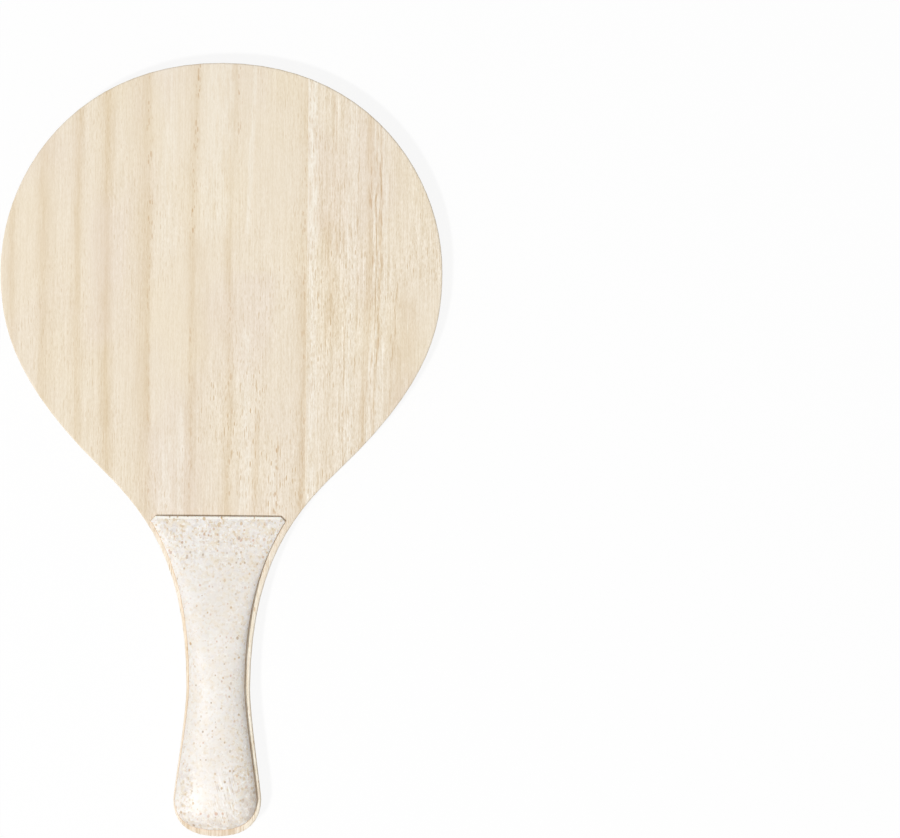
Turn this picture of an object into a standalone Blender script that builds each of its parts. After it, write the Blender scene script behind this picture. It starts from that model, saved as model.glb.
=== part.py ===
"""A beach paddle: a plywood blade whose tang is clad with two moulded grip scales.

Units are metres. The paddle lies flat, its front face up (+Z) and its head towards +Y.
The origin is the middle of its bounding box. Below, "up" is a distance from the butt
end towards the head, and an outline is given by its right half.
"""

import math

import bmesh
import bpy
import numpy as np
from mathutils import Vector

# Blade outline
LENGTH = 0.380
HEAD_WIDTH = 0.217
HEAD_WIDEST_UP = 0.278
FLANK_WIDTH = 0.118
FLANK_UP = 0.181
FLANK_ANGLE = math.radians(44)
WAIST_WIDTH = 0.031
WAIST_UP = 0.0725
PALM_WIDTH = 0.043
PALM_UP = 0.018

# How far each span of the outline follows its end tangents, as shares of its chord
HEAD_TOP_PULLS = (0.49, 0.31)
HEAD_SIDE_PULLS = (0.22, 0.59)
THROAT_PULLS = (0.26, 0.53)
HANDLE_PULLS = (0.23, 0.07)
BUTT_PULLS = (0.42, 0.49)

# Plywood
FACE_PLY = 0.0009
CROSSBAND_PLY = 0.0009
CORE_PLY = 0.0012
GLUE_LINE = 0.0003
ARRIS_RADIUS = 0.0007
LEAF_JOINT_X = 0.0418

# Grip scale, the moulding on each side of the tang
GRIP_LENGTH = 0.1573
PALM_MARGIN = 0.0013
SHOULDER_MARGIN = 0.0028
BUTT_MARGIN = 0.0031
GRIP_OFF_CENTRE = -0.0006
GRIP_CORNER_CHAMFER = 0.0024
GRIP_EDGE_RADIUS = 0.0006
RIM_HEIGHT = 0.0009
SHOULDER_THICKNESS = 0.0020
WAIST_THICKNESS = 0.0079
PALM_THICKNESS = 0.0082
FULL_CROWN_UP = 0.080
BUTT_FALL_UP = 0.036
SECTION_POWER = 2.4
SHOULDER_POWER = 4.0
BUTT_POWER = 2.5
WALL = 0.0020

# Ribs, pegs and sockets on the underside of a scale
RIB = 0.0014
RIB_SPACING = 0.025
BUTT_WALL = 0.0040
POCKET_STOP = 0.026
BOSS_WALL = 0.0016
PEG_RADIUS = 0.0025
PEG_ENGAGEMENT = 0.0030
PEG_CHAMFER = 0.0006
SHOULDER_PEG_SPREAD = 0.018
SHOULDER_PEG_DROP = 0.040
BUTT_PEG_SPREAD = 0.019
BUTT_PEG_UP = 0.025

# Clearance between pieces that touch or fit, and how far a cutter runs past what it cuts
FIT = 0.0003
OVERCUT = 0.0010

# The most of a wall or a chamfer that an edge's rounding may take
ROUNDING_SHARE = 0.8

# Mesh fineness
HEAD_TOP_STEPS = 22
HEAD_SIDE_STEPS = 14
THROAT_STEPS = 14
HANDLE_STEPS = 8
BUTT_STEPS = 9
ARRIS_STEPS = 3
CROWN_STEPS = 16
ROUND_STEPS = 20
BODY_STEPS = 28
POCKET_STEPS_ALONG = 6
POCKET_STEPS_ACROSS = 5
SMOOTH_ANGLE = math.radians(40)
WELD = 1e-6

# Sizes that follow from those above
BLADE_THICKNESS = 2 * FACE_PLY + 2 * CROSSBAND_PLY + CORE_PLY + 4 * GLUE_LINE
SEAT_HEIGHT = BLADE_THICKNESS / 2 + FIT
BORE_RADIUS = PEG_RADIUS + FIT
BOSS_RADIUS = BORE_RADIUS + BOSS_WALL
PEG_LENGTH = BLADE_THICKNESS + 2 * FIT + PEG_ENGAGEMENT
SOCKET_DEPTH = PEG_ENGAGEMENT + FIT
CUT_PAST = WALL + OVERCUT


def srgb(red, green, blue):
    """A linear colour from 0 to 255 display values."""
    channels = []
    for value in (red, green, blue):
        share = value / 255
        channels.append(share / 12.92 if share <= 0.04045 else ((share + 0.055) / 1.055) ** 2.4)
    return (*channels, 1.0)


def make_material(name, colour, roughness):
    material = bpy.data.materials.new(name)
    material.use_nodes = True
    shader = material.node_tree.nodes["Principled BSDF"]
    shader.inputs["Base Color"].default_value = colour
    shader.inputs["Roughness"].default_value = roughness
    shader.inputs["Metallic"].default_value = 0.0
    return material


def add_object(name, mesh, parent, location=(0, 0, 0), turned_over=False):
    """Places a mesh, or an empty for none; turned over is half a turn about the handle."""
    thing = bpy.data.objects.new(name, mesh)
    bpy.context.scene.collection.objects.link(thing)
    thing.parent = parent
    thing.location = location
    thing.rotation_euler = (0, math.pi if turned_over else 0, 0)
    return thing


def add_cutter(name, mesh, parent):
    cutter = add_object(name, mesh, parent)
    cutter.hide_render = True
    cutter.display_type = "WIRE"
    return cutter


def add_boolean(thing, name, operation, operand):
    modifier = thing.modifiers.new(name, "BOOLEAN")
    modifier.operation = operation
    modifier.solver = "EXACT"
    modifier.object = operand


def finish_mesh(bm, name, material=None):
    bmesh.ops.recalc_face_normals(bm, faces=bm.faces)
    mesh = bpy.data.meshes.new(name)
    bm.to_mesh(mesh)
    bm.free()
    mesh.shade_smooth()
    mesh.set_sharp_from_angle(angle=SMOOTH_ANGLE)
    if material:
        mesh.materials.append(material)
    return mesh


def applied_mesh(thing, name):
    """The mesh of an object with its modifiers applied."""
    evaluated = thing.evaluated_get(bpy.context.evaluated_depsgraph_get())
    mesh = bpy.data.meshes.new_from_object(evaluated)
    mesh.name = name
    return mesh


def skin(bm, ring_a, ring_b):
    """Faces between two closed rings of the same number of vertices."""
    for index in range(len(ring_a)):
        after = (index + 1) % len(ring_a)
        bm.faces.new((ring_a[index], ring_a[after], ring_b[after], ring_b[index]))


def loft(bm, sections, cap_start=True, cap_end=True):
    """A closed body through a row of closed sections."""
    rings = [[bm.verts.new(point) for point in section] for section in sections]
    for ring_a, ring_b in zip(rings, rings[1:]):
        skin(bm, ring_a, ring_b)
    if cap_start:
        bm.faces.new(rings[0])
    if cap_end:
        bm.faces.new(rings[-1])


def turned(bm, profile, centre):
    """A closed body turned about a vertical axis from a profile of (radius, height)."""
    sections = []
    for radius, height in profile:
        section = []
        for step in range(ROUND_STEPS):
            angle = math.tau * step / ROUND_STEPS
            across = centre[0] + radius * math.cos(angle)
            section.append((across, centre[1] + radius * math.sin(angle), height))
        sections.append(section)
    loft(bm, sections)


def span_points(start, end, pulls, steps):
    """Points and travel directions along one Bezier span between two knots.

    A knot is (half width, up, travel angle). The span's last point is left to the next.
    """
    first = Vector(start[:2])
    last = Vector(end[:2])
    chord = (last - first).length
    leaving = Vector((math.cos(start[2]), math.sin(start[2])))
    arriving = Vector((math.cos(end[2]), math.sin(end[2])))
    second = first + leaving * pulls[0] * chord
    third = last - arriving * pulls[1] * chord
    found = []
    for step in range(steps):
        t = step / steps
        s = 1 - t
        point = first * s**3 + second * 3 * s * s * t + third * 3 * s * t * t + last * t**3
        travel = (second - first) * s * s + (third - second) * 2 * s * t + (last - third) * t * t
        found.append((point, travel.normalized()))
    return found


def half_outline():
    """The blade's right half, from the middle of the head's top to the middle of the butt.

    Each entry is a point (half width, up) and its outward normal.
    """
    down = -math.pi / 2
    knots = [
        (0.0, LENGTH, 0.0),
        (HEAD_WIDTH / 2, HEAD_WIDEST_UP, down),
        (FLANK_WIDTH / 2, FLANK_UP, math.pi + FLANK_ANGLE),
        (WAIST_WIDTH / 2, WAIST_UP, down),
        (PALM_WIDTH / 2, PALM_UP, down),
        (0.0, 0.0, math.pi),
    ]
    spans = [
        (HEAD_TOP_PULLS, HEAD_TOP_STEPS),
        (HEAD_SIDE_PULLS, HEAD_SIDE_STEPS),
        (THROAT_PULLS, THROAT_STEPS),
        (HANDLE_PULLS, HANDLE_STEPS),
        (BUTT_PULLS, BUTT_STEPS),
    ]
    outline = []
    for start, end, (pulls, steps) in zip(knots, knots[1:], spans):
        outline += span_points(start, end, pulls, steps)
    outline.append((Vector((0.0, 0.0)), Vector((-1.0, 0.0))))
    return [(point, Vector((-travel.y, travel.x))) for point, travel in outline]


HALF_OUTLINE = half_outline()


def ply_ring(inset, height):
    """The whole blade outline drawn in by an inset, at a height."""
    right = [point - normal * inset for point, normal in HALF_OUTLINE]
    ring = [(point.x, point.y, height) for point in right]
    ring += [(-point.x, point.y, height) for point in right[-2:0:-1]]
    return ring


def ply_body(thickness, arris=0.0):
    """A sheet of the blade's outline, its upper edge rounded by an arris radius."""
    bm = bmesh.new()
    rings = [ply_ring(0.0, 0.0), ply_ring(0.0, thickness - arris)]
    if arris:
        for step in range(1, ARRIS_STEPS + 1):
            turn = math.pi / 2 * step / ARRIS_STEPS
            inset = arris * (1 - math.cos(turn))
            rings.append(ply_ring(inset, thickness - arris + arris * math.sin(turn)))
    loft(bm, rings)
    bmesh.ops.recalc_face_normals(bm, faces=bm.faces)
    return bm


def cut_leaf(bm, side):
    """Keeps the part of a ply on one side of the leaf joint: -1 is left, 1 is right."""
    plane = (LEAF_JOINT_X + side * GLUE_LINE / 2, 0, 0)
    geometry = bm.verts[:] + bm.edges[:] + bm.faces[:]
    bmesh.ops.bisect_plane(bm, geom=geometry, plane_co=plane, plane_no=(-side, 0, 0), clear_outer=True)
    rim = [edge for edge in bm.edges if edge.is_boundary]
    bmesh.ops.holes_fill(bm, edges=rim)


def score_line(bm, up):
    """Divides a ply's faces across at one distance up, so that its head is a face of its own."""
    geometry = bm.verts[:] + bm.edges[:] + bm.faces[:]
    bmesh.ops.bisect_plane(bm, geom=geometry, plane_co=(0, up, 0), plane_no=(0, 1, 0))


def face_leaf_mesh(name, side, material):
    bm = ply_body(FACE_PLY, min(ARRIS_RADIUS, ROUNDING_SHARE * FACE_PLY))
    cut_leaf(bm, side)
    score_line(bm, GRIP_LENGTH + FIT)
    return finish_mesh(bm, name, material)


def peg_places():
    """(x, up, carries a peg) of the four fixings on a scale; the others are sockets."""
    shoulder = GRIP_LENGTH - SHOULDER_PEG_DROP
    return [
        (SHOULDER_PEG_SPREAD / 2, shoulder, True),
        (-SHOULDER_PEG_SPREAD / 2, shoulder, False),
        (BUTT_PEG_SPREAD / 2, BUTT_PEG_UP, False),
        (-BUTT_PEG_SPREAD / 2, BUTT_PEG_UP, True),
    ]


def bore_mesh():
    """The four holes through the tang."""
    bm = bmesh.new()
    for x, up, _ in peg_places():
        turned(bm, [(BORE_RADIUS, -BLADE_THICKNESS), (BORE_RADIUS, BLADE_THICKNESS)], (x, up))
    return finish_mesh(bm, "tang_bores")


def blend(share):
    """0 to 1 with level ends."""
    share = min(max(share, 0.0), 1.0)
    return share * share * (3 - 2 * share)


def grip_margin(up):
    """How far the scale's edge lies inside the blade's."""
    side = PALM_MARGIN + (SHOULDER_MARGIN - PALM_MARGIN) * (up - PALM_UP) / (GRIP_LENGTH - PALM_UP)
    end = (BUTT_MARGIN - PALM_MARGIN) * max(0.0, 1 - up / PALM_UP) ** 2
    return max(side, PALM_MARGIN) + end


def grip_edge():
    """The scale's edge as rising (up, half width) pairs, before its top is cut off."""
    pairs = []
    for point, normal in reversed(HALF_OUTLINE):
        if point.y < FLANK_UP:
            edge = point - normal * grip_margin(point.y)
            pairs.append((edge.y, max(edge.x, 0.0)))
    return pairs


GRIP_EDGE = grip_edge()


def grip_half_width(up):
    ups = [pair[0] for pair in GRIP_EDGE]
    halves = [pair[1] for pair in GRIP_EDGE]
    corner = GRIP_LENGTH - GRIP_CORNER_CHAMFER
    half = float(np.interp(min(up, corner), ups, halves))
    return half - max(0.0, up - corner)


def crown_height(up):
    """The scale's thickness along its middle."""
    if up > FULL_CROWN_UP:
        along = min((up - FULL_CROWN_UP) / (GRIP_LENGTH - FULL_CROWN_UP), 1.0)
        share = along * along * (2 - along)
        height = WAIST_THICKNESS + (SHOULDER_THICKNESS - WAIST_THICKNESS) * share
    else:
        share = blend((up - PALM_UP) / (WAIST_UP - PALM_UP))
        height = PALM_THICKNESS + (WAIST_THICKNESS - PALM_THICKNESS) * share
    if up < BUTT_FALL_UP:
        toward_butt = (BUTT_FALL_UP - up) / (BUTT_FALL_UP - BUTT_MARGIN)
        rise = (1 - min(toward_butt, 1.0) ** BUTT_POWER) ** (1 / BUTT_POWER)
        height = RIM_HEIGHT + (height - RIM_HEIGHT) * rise
    into_edge = (up - (GRIP_LENGTH - GRIP_EDGE_RADIUS)) / GRIP_EDGE_RADIUS
    if into_edge > 0:
        drop = GRIP_EDGE_RADIUS * (1 - math.sqrt(max(0.0, 1 - into_edge**2)))
        height = max(height - drop, RIM_HEIGHT)
    return height


def section_power(up):
    """How square a scale's section is: round on the handle, flatter where it flares."""
    share = blend((up - WAIST_UP) / (GRIP_LENGTH - SHOULDER_PEG_DROP - WAIST_UP))
    return SECTION_POWER + (SHOULDER_POWER - SECTION_POWER) * share


def surface_height(x, up):
    """The height of a scale's outer surface over its seat."""
    power = section_power(up)
    across = min(abs(x) / grip_half_width(up), 1.0)
    bow = (1 - across**power) ** (1 / power)
    return RIM_HEIGHT + (crown_height(up) - RIM_HEIGHT) * bow


def grip_stations():
    """Distances up, close together where the ends turn over."""
    butt_rise = PALM_UP - BUTT_MARGIN
    ups = [BUTT_MARGIN + butt_rise * (1 - math.cos(math.pi / 2 * k / BUTT_STEPS)) for k in range(BUTT_STEPS)]
    corner = GRIP_LENGTH - GRIP_CORNER_CHAMFER
    ups += [PALM_UP + (corner - PALM_UP) * k / BODY_STEPS for k in range(BODY_STEPS + 1)]
    edge_start = GRIP_LENGTH - min(GRIP_EDGE_RADIUS, ROUNDING_SHARE * GRIP_CORNER_CHAMFER)
    for k in range(ARRIS_STEPS + 1):
        ups.append(edge_start + (GRIP_LENGTH - edge_start) * math.sin(math.pi / 2 * k / ARRIS_STEPS))
    return ups


def grip_section(up):
    """One closed section of a scale, from its left rim over the crown to its right rim."""
    half = 0.0 if up <= BUTT_MARGIN else grip_half_width(up)
    rise = crown_height(up) - RIM_HEIGHT
    power = section_power(up)
    section = [(-half, up, 0.0)]
    for step in range(CROWN_STEPS + 1):
        angle = math.pi * (step / CROWN_STEPS - 0.5)
        x = half * math.copysign(abs(math.sin(angle)) ** (2 / power), angle)
        bow = max(math.cos(angle), 0.0) ** (2 / power)
        section.append((x, up, RIM_HEIGHT + rise * bow))
    section.append((half, up, 0.0))
    return section


def outer_scale_mesh(material):
    bm = bmesh.new()
    loft(bm, [grip_section(up) for up in grip_stations()], cap_start=False)
    bmesh.ops.remove_doubles(bm, verts=bm.verts, dist=WELD)
    return finish_mesh(bm, "outer_scale", material)


def pocket_mesh():
    """The hollows under a scale, in two columns of cells with ribs between them."""
    start = BUTT_MARGIN + BUTT_WALL
    stop = GRIP_LENGTH - POCKET_STOP
    rows = max(1, round((stop - start) / RIB_SPACING))
    pitch = (stop - start + RIB) / rows
    bm = bmesh.new()
    for row in range(rows):
        low = start + row * pitch
        high = low + pitch - RIB
        for side in (-1, 1):
            sections = []
            for k in range(POCKET_STEPS_ALONG + 1):
                up = low + (high - low) * k / POCKET_STEPS_ALONG
                reach = grip_half_width(up) - WALL
                step = (reach - RIB / 2) / POCKET_STEPS_ACROSS
                xs = [RIB / 2 + step * j for j in range(POCKET_STEPS_ACROSS + 1)]
                roof = [(side * x, up, surface_height(x, up) - WALL) for x in xs]
                floor = [(side * xs[-1], up, -CUT_PAST), (side * xs[0], up, -CUT_PAST)]
                sections.append(roof + floor)
            loft(bm, sections)
    return finish_mesh(bm, "pockets")


def boss_mesh():
    """Solid round bosses that the pockets leave standing about each peg and socket."""
    bm = bmesh.new()
    bottom = -CUT_PAST - OVERCUT
    top = PALM_THICKNESS + CUT_PAST
    for x, up, _ in peg_places():
        turned(bm, [(BOSS_RADIUS, bottom), (BOSS_RADIUS, top)], (x, up))
    return finish_mesh(bm, "bosses")


def peg_mesh():
    """The moulded pegs, rooted in their bosses, with chamfered tips."""
    bm = bmesh.new()
    profile = [
        (PEG_RADIUS, SOCKET_DEPTH),
        (PEG_RADIUS, PEG_CHAMFER - PEG_LENGTH),
        (PEG_RADIUS - PEG_CHAMFER, -PEG_LENGTH),
    ]
    for x, up, is_peg in peg_places():
        if is_peg:
            turned(bm, profile, (x, up))
    return finish_mesh(bm, "pegs")


def socket_mesh():
    """The blind holes that take the other scale's pegs."""
    bm = bmesh.new()
    for x, up, is_peg in peg_places():
        if not is_peg:
            turned(bm, [(BORE_RADIUS, -CUT_PAST), (BORE_RADIUS, SOCKET_DEPTH)], (x, up))
    return finish_mesh(bm, "sockets")


def grip_scale_mesh(parent, material):
    """One moulding, cut and joined once, which both sides of the tang then use."""
    pockets = add_cutter("pockets", pocket_mesh(), parent)
    bosses = add_cutter("bosses", boss_mesh(), parent)
    sockets = add_cutter("sockets", socket_mesh(), parent)
    pegs = add_cutter("pegs", peg_mesh(), parent)
    add_boolean(pockets, "leave bosses", "DIFFERENCE", bosses)
    blank = add_object("scale_blank", outer_scale_mesh(material), parent)
    add_boolean(blank, "hollow out", "DIFFERENCE", pockets)
    add_boolean(blank, "bore sockets", "DIFFERENCE", sockets)
    add_boolean(blank, "add pegs", "UNION", pegs)
    mesh = applied_mesh(blank, "grip_scale")
    for thing in (blank, pockets, bosses, sockets, pegs):
        bpy.data.objects.remove(thing)
    return mesh


def add_blade(parent, grip_axes, face_wood, inner_wood):
    """Five plies glued in a stack; each face is two leaves, edge jointed."""
    bores = add_cutter("tang_bores", bore_mesh(), grip_axes)
    wide = face_leaf_mesh("face_leaf_wide", -1, face_wood)
    narrow = face_leaf_mesh("face_leaf_narrow", 1, face_wood)
    face_seat = BLADE_THICKNESS / 2 - FACE_PLY
    crossband_seat = CORE_PLY / 2 + GLUE_LINE
    crossband = finish_mesh(ply_body(CROSSBAND_PLY), "crossband", inner_wood)
    core = finish_mesh(ply_body(CORE_PLY), "core", inner_wood)
    bored = [
        add_object("front_face_leaf_wide", wide, parent, (0, 0, face_seat)),
        add_object("front_crossband_ply", crossband, parent, (0, 0, crossband_seat)),
        add_object("core_ply", core, parent, (0, 0, -CORE_PLY / 2)),
        add_object("rear_crossband_ply", crossband, parent, (0, 0, -crossband_seat), True),
        add_object("rear_face_leaf_wide", wide, parent, (0, 0, -face_seat), True),
    ]
    for ply in bored:
        add_boolean(ply, "peg bores", "DIFFERENCE", bores)
    add_object("front_face_leaf_narrow", narrow, parent, (0, 0, face_seat))
    add_object("rear_face_leaf_narrow", narrow, parent, (0, 0, -face_seat), True)


def main():
    for thing in list(bpy.data.objects):
        bpy.data.objects.remove(thing)
    face_wood = make_material("face_wood", srgb(235, 222, 200), 0.62)
    inner_wood = make_material("inner_wood", srgb(222, 200, 166), 0.7)
    moulding = make_material("moulding", srgb(238, 231, 222), 0.48)

    paddle = add_object("paddle_axes", None, None, (0, -LENGTH / 2, 0))
    grip_axes = add_object("grip_axes", None, paddle, (GRIP_OFF_CENTRE, 0, 0))

    add_blade(paddle, grip_axes, face_wood, inner_wood)
    scale = grip_scale_mesh(grip_axes, moulding)
    add_object("front_grip_scale", scale, grip_axes, (0, 0, SEAT_HEIGHT))
    add_object("rear_grip_scale", scale, grip_axes, (0, 0, -SEAT_HEIGHT), True)


main()
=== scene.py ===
import math
from typing import NamedTuple

import bpy
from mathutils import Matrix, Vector


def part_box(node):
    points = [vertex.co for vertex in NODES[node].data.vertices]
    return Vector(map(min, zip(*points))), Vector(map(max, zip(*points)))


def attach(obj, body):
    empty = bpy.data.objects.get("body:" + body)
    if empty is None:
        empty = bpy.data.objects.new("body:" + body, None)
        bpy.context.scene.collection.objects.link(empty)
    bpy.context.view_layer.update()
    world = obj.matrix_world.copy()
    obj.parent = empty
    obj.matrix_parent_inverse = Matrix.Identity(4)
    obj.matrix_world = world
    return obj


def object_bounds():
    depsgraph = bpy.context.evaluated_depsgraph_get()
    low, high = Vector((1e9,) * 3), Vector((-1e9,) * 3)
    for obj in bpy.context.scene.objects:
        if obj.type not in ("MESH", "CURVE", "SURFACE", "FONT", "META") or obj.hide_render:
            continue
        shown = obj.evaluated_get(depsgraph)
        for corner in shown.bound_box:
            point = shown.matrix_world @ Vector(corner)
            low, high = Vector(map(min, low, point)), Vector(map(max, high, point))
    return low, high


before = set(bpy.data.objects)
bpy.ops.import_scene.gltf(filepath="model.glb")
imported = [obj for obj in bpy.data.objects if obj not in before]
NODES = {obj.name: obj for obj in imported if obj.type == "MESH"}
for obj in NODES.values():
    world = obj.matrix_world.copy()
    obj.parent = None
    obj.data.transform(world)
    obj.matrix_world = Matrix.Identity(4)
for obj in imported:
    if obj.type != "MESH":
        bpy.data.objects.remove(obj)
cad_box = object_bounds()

# The photograph's frame, and two points of its left paddle, in pixels from the top left
PHOTO_WIDTH = 900
PHOTO_HEIGHT = 838
HEAD_TOP_PIXEL = Vector((223.2, 62.8))
BUTT_END_PIXEL = Vector((216.7, 836.4))

# Camera, in metres, and its sensor in millimetres
CAMERA_DISTANCE = 2.4
CLIP_START = 0.05
CLIP_END = 50.0
SENSOR_WIDTH = 36.0

# Studio: what each light gives of a white surface's full brightness
KEY_SHARE = 0.59
SKY_SHARE = 0.395
KEY_AZIMUTH = math.radians(226)
KEY_ELEVATION = math.radians(63)
KEY_DISTANCE = 3.4
KEY_SIZE = 0.32

# Floor: its paint, and how much of its look is a white of its own where it is seen directly
FLOOR_SIZE = 12.0
FLOOR_PAINT = (0.95, 0.95, 0.95, 1.0)
FLOOR_WHITE = 0.9


def srgb(red, green, blue):
    """A colour given as the eye sees it, 0 to 255, as linear light with full cover."""
    def linear(value):
        value = value / 255
        return value / 12.92 if value <= 0.04045 else ((value + 0.055) / 1.055) ** 2.4

    return linear(red), linear(green), linear(blue), 1.0


# Colours of the face veneer
WOOD_LIGHT = srgb(241, 228, 207)
WOOD_DARK = srgb(222, 200, 166)
WOOD_GOLD = srgb(241, 226, 198)
WOOD_PINK = srgb(236, 221, 206)
WOOD_PORE = srgb(204, 174, 130)
WOOD_WHITE = srgb(249, 241, 226)
WOOD_BROWN = srgb(218, 192, 154)
# Painted light: a cream that brightens the wood margin beside the grip's right side
PAINTED_LIGHT_CREAM = srgb(250, 242, 224)
RING_DASH = srgb(196, 156, 106)
STRIPE_BROWN = srgb(206, 182, 148)

# Colours of the inner plies and of what fills the gaps, each as (most of it, its patches)
CROSS_PLY_TINTS = (srgb(230, 208, 172), srgb(208, 180, 138))
CORE_PLY_TINTS = (srgb(240, 224, 196), srgb(224, 202, 166))
GLUE_TINTS = (srgb(176, 140, 96), srgb(206, 176, 134))
FILLER_TINTS = (srgb(238, 224, 200), srgb(228, 208, 178))
# Amber glue under the grip, whose proud rim is also a painted brown shadow line
AMBER_GLUE_AND_SHADE_TINTS = (srgb(200, 158, 102), srgb(180, 138, 84))

# Colours of the grip's moulding
MOULD_PALE = srgb(241, 237, 232)
MOULD_WARM = srgb(236, 230, 222)
MOTTLE_CREAM = srgb(236, 224, 204)
MOTTLE_GREY = srgb(226, 220, 216)
MOTTLE_STRAW = srgb(218, 198, 166)
MOTTLE_WHITE = srgb(252, 250, 246)
# Grey of the painted shade on the grip
SHADE_BLOTCH_GREY = srgb(204, 192, 178)
# White of the painted highlight on the grip's lip
LIP_HIGHLIGHT_WHITE = srgb(255, 252, 244)
FLOW_DARK = srgb(176, 154, 128)

# Colours that the straw's flecks are drawn from, as (place from 0 to 1, colour)
STRAW_TINTS = (
    (0.0, srgb(140, 104, 52)), (0.25, srgb(184, 146, 86)), (0.6, srgb(204, 170, 114)),
    (0.9, srgb(206, 158, 130)), (1.0, srgb(180, 160, 140)),
)


class Grain(NamedTuple):
    """Noise drawn out along the grain, in metres. A mask made of it rises where the noise is low to high."""
    width: float
    length: float
    seed: float
    detail: float = 2.0
    roughness: float = 0.5
    low: float = 0.0
    high: float = 1.0


class Patches(NamedTuple):
    """Wide soft patches, which rise where a noise is low to high. The scale is per metre in x, y and z."""
    scale: tuple
    seed: float
    low: float
    high: float
    detail: float = 2.0


class Lean(NamedTuple):
    """How rings lean: their shift to the right, and the y and x where that starts and where it is whole."""
    amount: float
    over_y: tuple
    over_x: tuple


class Skin(NamedTuple):
    """A surface: its least and most roughness, its gloss, its relief in metres and how strongly it shades."""
    smoothest: float
    roughest: float
    specular: float
    relief: float = 0.0
    strength: float = 0.0


class Mottle(NamedTuple):
    """Soft blotches of a size in metres, which rise where a noise is low to high."""
    size: float
    seed: tuple
    low: float
    high: float
    colour: tuple


class Flecks(NamedTuple):
    """Flecks of straw, one at most in each spacing in metres. largest is a radius, as a share of that."""
    spacing: float
    seed: tuple
    largest: float
    strength: float


# Surfaces, and how much light scatters inside the moulding and how far, in metres for each colour channel
VENEER_SKIN = Skin(smoothest=0.60, roughest=0.80, specular=0.25, relief=0.00003, strength=0.6)
PLY_SKIN = Skin(smoothest=0.65, roughest=0.85, specular=0.25, relief=0.00006, strength=0.7)
GLUE_SKIN = Skin(smoothest=0.50, roughest=0.70, specular=0.5)
MOULD_SKIN = Skin(smoothest=0.40, roughest=0.50, specular=0.5, relief=0.00003, strength=0.5)
MOULD_SCATTER = 0.1
MOULD_SCATTER_REACH = (0.002, 0.0015, 0.001)

# Growth rings of each face leaf. A ring is (place, lead, fade, depth): its place from the paddle's
# centre line, the slow darkening before it, the quick paling after it, and how dark it gets
FRONT_WIDE_RINGS = (
    (-0.1025, 0.0060, 0.0030, 0.60), (-0.0875, 0.0060, 0.0060, 0.62),
    (-0.0702, 0.0050, 0.0030, 0.76), (-0.0560, 0.0070, 0.0040, 0.94),
    (-0.0357, 0.0130, 0.0020, 0.72), (-0.0147, 0.0050, 0.0030, 0.74),
    (0.0040, 0.0050, 0.0030, 0.75), (0.0412, 0.0080, 0.0010, 0.80),
    (-0.0845, 0.0040, 0.0050, 0.35), (0.0392, 0.0010, 0.0010, 0.70),
)
FRONT_NARROW_RINGS = (
    (0.0530, 0.0060, 0.0050, 0.20), (0.0735, 0.0045, 0.0015, 0.56),
    (0.0775, 0.0010, 0.0010, 0.60), (0.0870, 0.0050, 0.0080, 0.15),
)
REAR_WIDE_RINGS = (
    (-0.0402, 0.0060, 0.0030, 0.70), (-0.0215, 0.0060, 0.0040, 0.80),
    (-0.0040, 0.0090, 0.0030, 0.85), (0.0190, 0.0060, 0.0030, 0.75),
    (0.0385, 0.0120, 0.0020, 0.90), (0.0610, 0.0050, 0.0040, 0.80),
    (0.0790, 0.0070, 0.0030, 0.85), (0.1010, 0.0060, 0.0030, 0.70),
)
REAR_NARROW_RINGS = (
    (-0.1030, 0.0060, 0.0060, 0.40), (-0.0850, 0.0040, 0.0015, 0.70),
    (-0.0668, 0.0060, 0.0040, 0.50), (-0.0520, 0.0050, 0.0030, 0.60),
)
RING_MID_SHADE = 0.3
RING_WEAKEST = 0.72
RING_FRAY = 0.0012
RING_MARGIN = 0.003
RINGS_PER_RAMP = 8

# Rings lean to the right near the wide leaf's top, and to the left low on the narrow leaf. All of them
# drift slowly and wobble finely, at these scales per metre and by these distances
LEAN_OF_WIDE = Lean(0.0028, over_y=(0.10, 0.19), over_x=(-0.026, 0.000))
LEAN_OF_NARROW = Lean(-0.0030, over_y=(0.10, 0.00), over_x=(0.060, 0.068))
DRIFT_SCALE = (14.0, 7.0, 9.0)
DRIFT = 0.0018
WOBBLE_SCALE = (260.0, 90.0, 260.0)
WOBBLE = 0.0011

# Streaks along the grain: (place, half width, strength, colour, foot, top)
FRONT_WIDE_STREAKS = (
    (0.0130, 0.0016, 0.50, WOOD_WHITE, 0.112, 0.190),
    (0.0122, 0.0032, 0.55, WOOD_WHITE, -0.190, 0.055),
    (-0.0265, 0.0060, 0.30, WOOD_WHITE, 0.100, 0.190),
    (0.0262, 0.0022, 0.55, WOOD_WHITE, -0.190, -0.010),
    (-0.0270, 0.0040, 0.50, WOOD_WHITE, -0.190, 0.000),
    (-0.0195, 0.0024, 0.40, WOOD_WHITE, -0.190, 0.020),
    (-0.0030, 0.0110, 0.40, WOOD_WHITE, 0.112, 0.200),
    (-0.0100, 0.0055, 0.15, WOOD_BROWN, -0.190, 0.100),
    (0.0177, 0.0015, 0.35, WOOD_BROWN, -0.190, 0.010),
    (0.0277, 0.0007, 0.45, WOOD_BROWN, -0.060, 0.000),
    # Painted light, not grain: a cream strip over the handle's right margin, beside the grip's shaded side
    (0.0175, 0.0060, 0.85, PAINTED_LIGHT_CREAM, -0.200, -0.045),
    (0.0399, 0.0007, 0.22, WOOD_PORE, -0.070, 0.030),
)
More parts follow.
